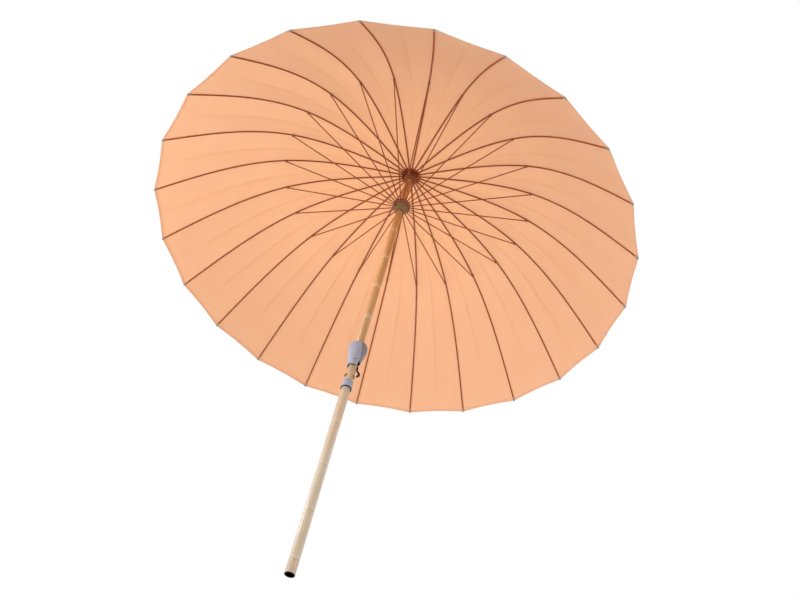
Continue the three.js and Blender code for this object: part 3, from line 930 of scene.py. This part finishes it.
def add_collar():
    inner, outer = LOWER_RADIUS / MM + 0.8, LOWER_RADIUS / MM + 3.4
    bottom, top = COLLAR_LOW.z / MM, COLLAR_HIGH.z / MM
    step = LOWER_TOP / MM + 1
    grip = bottom + 4
    profile = [(inner, grip), (outer - 0.9, grip), (outer - 0.9, grip + 0.8), (outer - 0.1, grip + 1.4)]
    profile += [(outer - 0.8, step)]
    profile += curve_points((outer - 0.8, step), (outer - 1.2, top - 2), (18.6, top), 8)
    profile += [(16.8, top), (16.8, step), (inner, step)]
    shell = lathe("collar", scaled(profile), 96)
    smooth(shell, 35)
    place("lock_collar_shell", shell, GREY_PLASTIC, "collar", "grey_plastic", ("lock_collar",))
    lip = [(inner, bottom), (outer - 0.5, bottom), (outer, bottom + 0.6)]
    lip += [(outer, grip - 0.7), (outer - 0.5, grip - 0.1)]
    lip += [(inner, grip - 0.1)]
    ring = lathe("collar_lip", scaled(lip), 96)
    smooth(ring, 35)
    place("lock_collar_lip", ring, DARK_PLASTIC, "collar", "dark_plastic")


add_pole()
add_collar()

# ---------------------------------------------------------------- tilt joint

MOUTH_RADIUS = 22.5
SHOULDER_RADIUS = HOUSING_HIGH.x / MM
HOUSING_TALL = HOUSING_HEIGHT / MM
PIN_HEIGHT = (TILT_PIVOT.z - HOUSING_LOW.z) / MM


def bezier(points, steps):
    result = []
    for i in range(steps + 1):
        t = i / steps
        weights = ((1 - t) ** 3, 3 * t * (1 - t) ** 2, 3 * t * t * (1 - t), t ** 3)
        result.append(tuple(sum(w * p[axis] for w, p in zip(weights, points)) for axis in (0, 1)))
    return result


def pear_profile(inset, bottom):
    """Half the housing's outline in millimetres above its lower edge, inset from the outside."""
    mouth, widest = MOUTH_RADIUS - inset, SHOULDER_RADIUS - inset
    shoulder, top = 0.76 * HOUSING_TALL, HOUSING_TALL
    handles = [(mouth + 2, shoulder * 0.45), (widest, shoulder * 0.7)]
    side = bezier([(mouth, bottom)] + handles + [(widest, shoulder)], 22)
    if inset > 0:
        return [(0, bottom)] + side + [(0, shoulder)]
    crown = bezier([(widest, shoulder), (widest, 0.9 * top), (0.75 * widest, top), (18, top)], 16)
    return [(0, bottom)] + side + crown[1:] + [(0, top)]


SHOULDER_NARROWING = 0.2  # how much less deep than wide the housing is at its shoulders
NARROWING_FROM, NARROWING_SPAN = 0.15, 0.6  # where that sets in, as shares of the housing's height


def depth_share(z):
    """The housing's depth as a share of its width, at z millimetres above its lower edge."""
    share = (z - NARROWING_FROM * HOUSING_TALL) / (NARROWING_SPAN * HOUSING_TALL)
    share = min(1.0, max(0.0, share))
    return 1 - SHOULDER_NARROWING * share * share * (3 - 2 * share)


def flattened(mesh):
    """Narrows the shell from front to back towards its shoulders."""
    for vertex in mesh.vertices:
        vertex.co.y *= depth_share(vertex.co.z / MM)
    return mesh


def cheek_outline(gap):
    """The lever-side cheek's region in the XZ plane, up to the seam, which gap moves outwards."""
    tall = HOUSING_TALL
    seam = [(5, tall + 8), (6, tall - 2), (10, 0.86 * tall), (15, 0.68 * tall), (18.5, 0.5 * tall)]
    seam += [(19.5, 0.34 * tall), (19.2, 0.2 * tall), (18.6, 0.1 * tall), (18.2, -6)]
    return [((x + gap) * MM, z * MM) for x, z in seam] + [(60 * MM, -6 * MM), (60 * MM, (tall + 8) * MM)]


SWING_HALF_WIDTH = 17.2 * MM
SWING_RISE = 2  # millimetres that the slot goes up past the tilt pin


def swing_block():
    """The slot that the middle tube swings out through when the mast tilts."""
    high = (74 * MM, SWING_HALF_WIDTH, (PIN_HEIGHT + SWING_RISE) * MM)
    return block("swing", (0, -SWING_HALF_WIDTH, -40 * MM), high)


def housing_shell():
    outside = flattened(lathe("housing", scaled(pear_profile(0, 0)), 120))
    inside = flattened(lathe("inside", scaled(pear_profile(2.5, -1)), 96))
    shell = boolean(outside, inside)
    shell = boolean(shell, lathe("bore", scaled([(0, 60), (16.4, 60), (16.4, 160), (0, 160)]), 72))
    hole = lathe("pin_hole", scaled([(0, -60), (3.4, -60), (3.4, 60), (0, 60)]), 32)
    hole.transform(Matrix.Translation((0, 0, PIN_HEIGHT * MM)) @ Matrix.Rotation(math.pi / 2, 4, "X"))
    shell = boolean(shell, hole)
    return boolean(shell, swing_block())


def screw_mesh(x, z, depth_sign):
    """A cross-recessed screw head in the cheek, facing -Y or +Y."""
    head = [(0, -2.2), (1.6, -2.2), (2.3, -0.3), (2.3, 0), (1.9, 0.35), (0, 0.5)]
    mesh = lathe("screw", scaled(head), 24)
    cutters = []
    for angle in (0, math.pi / 2):
        slot = block("slot", (-1.3 * MM, -0.22 * MM, 0.0), (1.3 * MM, 0.22 * MM, MM))
        slot.transform(Matrix.Rotation(angle, 4, "Z"))
        cutters.append(slot)
    for cutter in cutters:
        mesh = boolean(mesh, cutter)
    side = Matrix.Rotation(depth_sign * math.pi / 2, 4, "X")
    spot = Matrix.Translation((x * MM, -depth_sign * housing_depth(x, z) * MM, HOUSING_LOW.z + z * MM))
    mesh.transform(spot @ side)
    smooth(mesh, 35)
    return mesh


def housing_depth(x, z):
    """How far the housing's skin stands from the XZ plane at (x, z), in millimetres."""
    profile = [p for p in pear_profile(0, 0) if p[0] > 0]
    near = min(profile, key=lambda p: abs(p[1] - z))
    return depth_share(z) * math.sqrt(max(0.0, near[0] ** 2 - x * x))


def add_housing():
    lift = Matrix.Translation((0, 0, HOUSING_LOW.z))
    whole = housing_shell()
    region = extruded("cheek_region", cheek_outline(-0.25), 80 * MM)
    front = bevelled(boolean(whole.copy(), region), 0.5 * MM, 2, 50)
    region = extruded("cheek_region", cheek_outline(0.25), 80 * MM)
    cheek = bevelled(boolean(whole, region, "INTERSECT"), 0.5 * MM, 2, 50)
    # The cheek half takes the darker grey, painted shade on the flank.
    halves = (("tilt_housing_body", front, GREY_PLASTIC), ("tilt_housing_cheek", cheek, SHADED_CHEEK_GREY))
    for name, mesh, material in halves:
        mesh.transform(lift)
        smooth(mesh, 35)
        place(name, mesh, material, "mast", "grey_plastic", ("tilt_housing",))
    for k, (x, z) in enumerate(((24, 98), (23, 54))):
        place(f"housing_screw_{k + 1}", screw_mesh(x, z, -1), STEEL, "mast", "grey_plastic")


def mouth_shade_ring_mesh():
    """A dark ring inside the housing's mouth: painted shade that stands for the dark hollow inside."""
    profile = [(18.9, 0.8), (19.3, 0.4), (19.9, 0.4), (19.9, 18), (18.9, 18)]
    mesh = boolean(lathe("mouth_shade_ring", scaled(profile), 96), swing_block())
    mesh.transform(Matrix.Translation((0, 0, HOUSING_LOW.z)))
    smooth(mesh, 35)
    return mesh


def knuckle_mesh():
    half, bottom = 14 * MM, -16.6 * MM
    outline = [(-half, bottom), (half, bottom)]
    for k in range(25):
        angle = math.pi * k / 24
        outline.append((half * math.cos(angle), half * math.sin(angle)))
    head = bevelled(extruded("knuckle", outline, 10.5 * MM), 0.8 * MM, 3, 50)
    spigot = tube_mesh("spigot", 9 * MM, 14.4 * MM, bottom - 43 * MM, bottom - 0.05 * MM, 48)
    mesh = merged("knuckle", [head, spigot])
    mesh.transform(Matrix.Translation(TILT_PIVOT))
    smooth(mesh, 40)
    return mesh


def pin_mesh():
    half = MOUTH_RADIUS + 1.4
    profile = rounded([(0, -half), (3, -half), (3, half), (0, half)], 0.8, 3)
    mesh = lathe("tilt_pin", scaled(profile), 32)
    mesh.transform(Matrix.Translation(TILT_PIVOT) @ Matrix.Rotation(math.pi / 2, 4, "X"))
    smooth(mesh, 35)
    return mesh


LEVER_FLARE = 19  # millimetres from the lever's root out to its tip


def lever_mesh():
    """The release lever: a fin from its pivot beside the tube out to a turned-back tip."""
    inner = POLE_RADIUS / MM + 1
    tip = inner + LEVER_FLARE
    outline = [(inner, 10), (inner, -4), (tip - 7, -24.5), (tip - 14, -35), (tip - 12, -38), (tip - 1, -28)]
    outline += [(tip, -25), (tip - 1.2, -22), (inner + 6, -6), (inner + 6, 10)]
    mesh = extruded("lever", [(x * MM, z * MM) for x, z in outline], 5 * MM)
    mesh.transform(Matrix.Translation((0, 0, LEVER_PIVOT.z)))
    mesh = bevelled(mesh, 0.9 * MM, 3, 30)
    smooth(mesh, 40)
    return mesh


def saddle_mesh():
    """The strap that holds the lever to the middle tube, open at the front, with an ear opposite it."""
    band = [(16.05, 0), (18.2, 0), (18.6, 0.5), (18.6, 5.5), (18.2, 6), (16.05, 6)]
    ring = lathe("saddle", scaled(band), 72)
    gap = block("saddle_gap", (-13 * MM, -40 * MM, -5 * MM), (13 * MM, -4 * MM, 12 * MM))
    ring = boolean(ring, gap)
    ear = block("ear", (-20.5 * MM, -2.5 * MM, 0.6 * MM), (-17.6 * MM, 2.5 * MM, 4.6 * MM))
    ear = bevelled(ear, 0.6 * MM, 2)
    mesh = merged("saddle", [ring, ear])
    mesh.transform(Matrix.Translation((0, 0, SADDLE_HEIGHT)))
    smooth(mesh, 35)
    return mesh


SADDLE_HEIGHT = LEVER_PIVOT.z - 46 * MM
add_housing()
place("tilt_knuckle_block", knuckle_mesh(), DARK_PLASTIC, "middle", "dark_plastic", ("tilt_knuckle",))
place("tilt_pin", pin_mesh(), STEEL_DARK, "middle", "dark_plastic")
# A dark ring in the housing's mouth, painted shade for the hollow inside it.
place("housing_mouth_shade_ring", mouth_shade_ring_mesh(), DARK_PLASTIC, "mast", "dark_plastic")
# The lever and its saddle are near-black: painted shade for the shadow under the lever.
place("tilt_lever_fin", lever_mesh(), LEVER_BLACK_PAINTED_SHADE, "lever", "dark_plastic", ("tilt_lever",))
place("lever_saddle", saddle_mesh(), LEVER_BLACK_PAINTED_SHADE, "middle", "dark_plastic")

# ---------------------------------------------------------------- stage and light

world = bpy.data.worlds.new("studio")
bpy.context.scene.world = world
world.use_nodes = True
tree = world.node_tree
background = tree.nodes["Background"]
background.inputs["Color"].default_value = (1, 1, 1, 1)
ROOM_LIGHT = 0.86  # what the white room lends the parasol; the camera sees the room as pure white
FAR_SHARE = 0.22  # the room is lighter behind the parasol than in front
SIDE_SHARE = 0.45  # and lighter at its two sides
seen = tree.nodes.new("ShaderNodeLightPath")
direction = tree.nodes.new("ShaderNodeTexCoord")
axes = tree.nodes.new("ShaderNodeSeparateXYZ")
tree.links.new(direction.outputs["Generated"], axes.inputs[0])


def world_math(operation, a, b):
    node = tree.nodes.new("ShaderNodeMath")
    node.operation = operation
    for socket, value in zip(node.inputs, (a, b)):
        if isinstance(value, bpy.types.NodeSocket):
            tree.links.new(value, socket)
        else:
            socket.default_value = value
    return node.outputs[0]


lateral = world_math("MULTIPLY", world_math("ABSOLUTE", axes.outputs[0], 0), SIDE_SHARE)
depthwise = world_math("MULTIPLY", axes.outputs[1], FAR_SHARE)
share = world_math("ADD", world_math("ADD", lateral, depthwise), 1 - SIDE_SHARE / 2)
blend = tree.nodes.new("ShaderNodeMapRange")
tree.links.new(world_math("MULTIPLY", share, ROOM_LIGHT), blend.inputs["To Min"])
blend.inputs["To Max"].default_value = 1.0
tree.links.new(seen.outputs["Is Camera Ray"], blend.inputs["Value"])
tree.links.new(blend.outputs[0], background.inputs["Strength"])
bpy.context.scene.view_settings.view_transform = "Standard"


def area_light(name, place_at, aim, size, power, colour=(1, 1, 1)):
    light = bpy.data.lights.new(name, "AREA")
    light.size = size
    light.energy = power
    light.color = colour
    obj = bpy.data.objects.new(name, light)
    bpy.context.scene.collection.objects.link(obj)
    obj.location = place_at
    obj.rotation_euler = (Vector(aim) - Vector(place_at)).to_track_quat("-Z", "Y").to_euler()
    return obj


area_light("sky_softbox", (0.0, 1.2, 4.4), (0, 0.2, 1.9), 4.0, 50, (1.0, 0.95, 0.96))
area_light("crown_softbox", (-0.25, 0.15, 3.3), (-0.05, 0, 2.1), 0.8, 5, (1.0, 0.80, 0.30))
area_light("fill_softbox", (-2.4, -3.6, -1.6), (0, 0.2, 1.4), 2.0, 52, (0.90, 0.97, 1.18))
area_light("far_softbox", (0.2, 3.4, -1.3), (0.1, 0.7, 1.9), 1.8, 40, (0.5, 0.7, 1.6))
area_light("side_softbox", (-3.6, -0.9, 1.2), (0.3, 0, 1.5), 1.4, 20).data.spread = math.radians(90)


def floor():
    """A pale floor that is seen from above only, because the camera looks up from below the pole's end."""
    mesh = mesh_from("floor", [(-9, -9, 0), (9, -9, 0), (9, 9, 0), (-9, 9, 0)], [(0, 1, 2, 3)])
    n = Nodes("pale_floor")
    n.set(Base_Color=(0.86, 0.86, 0.86, 1), Roughness=0.8)
    clear = n.add("BsdfTransparent")
    below = n.add("NewGeometry").outputs["Backfacing"]
    both = n.add("MixShader", {0: below, 1: n.shader.outputs[0], 2: clear.outputs[0]})
    n.link(both.outputs[0], n.output.inputs["Surface"])
    mesh.materials.append(n.material)
    obj = new_object("floor", mesh)
    obj.location.z = -0.5 * MM


floor()
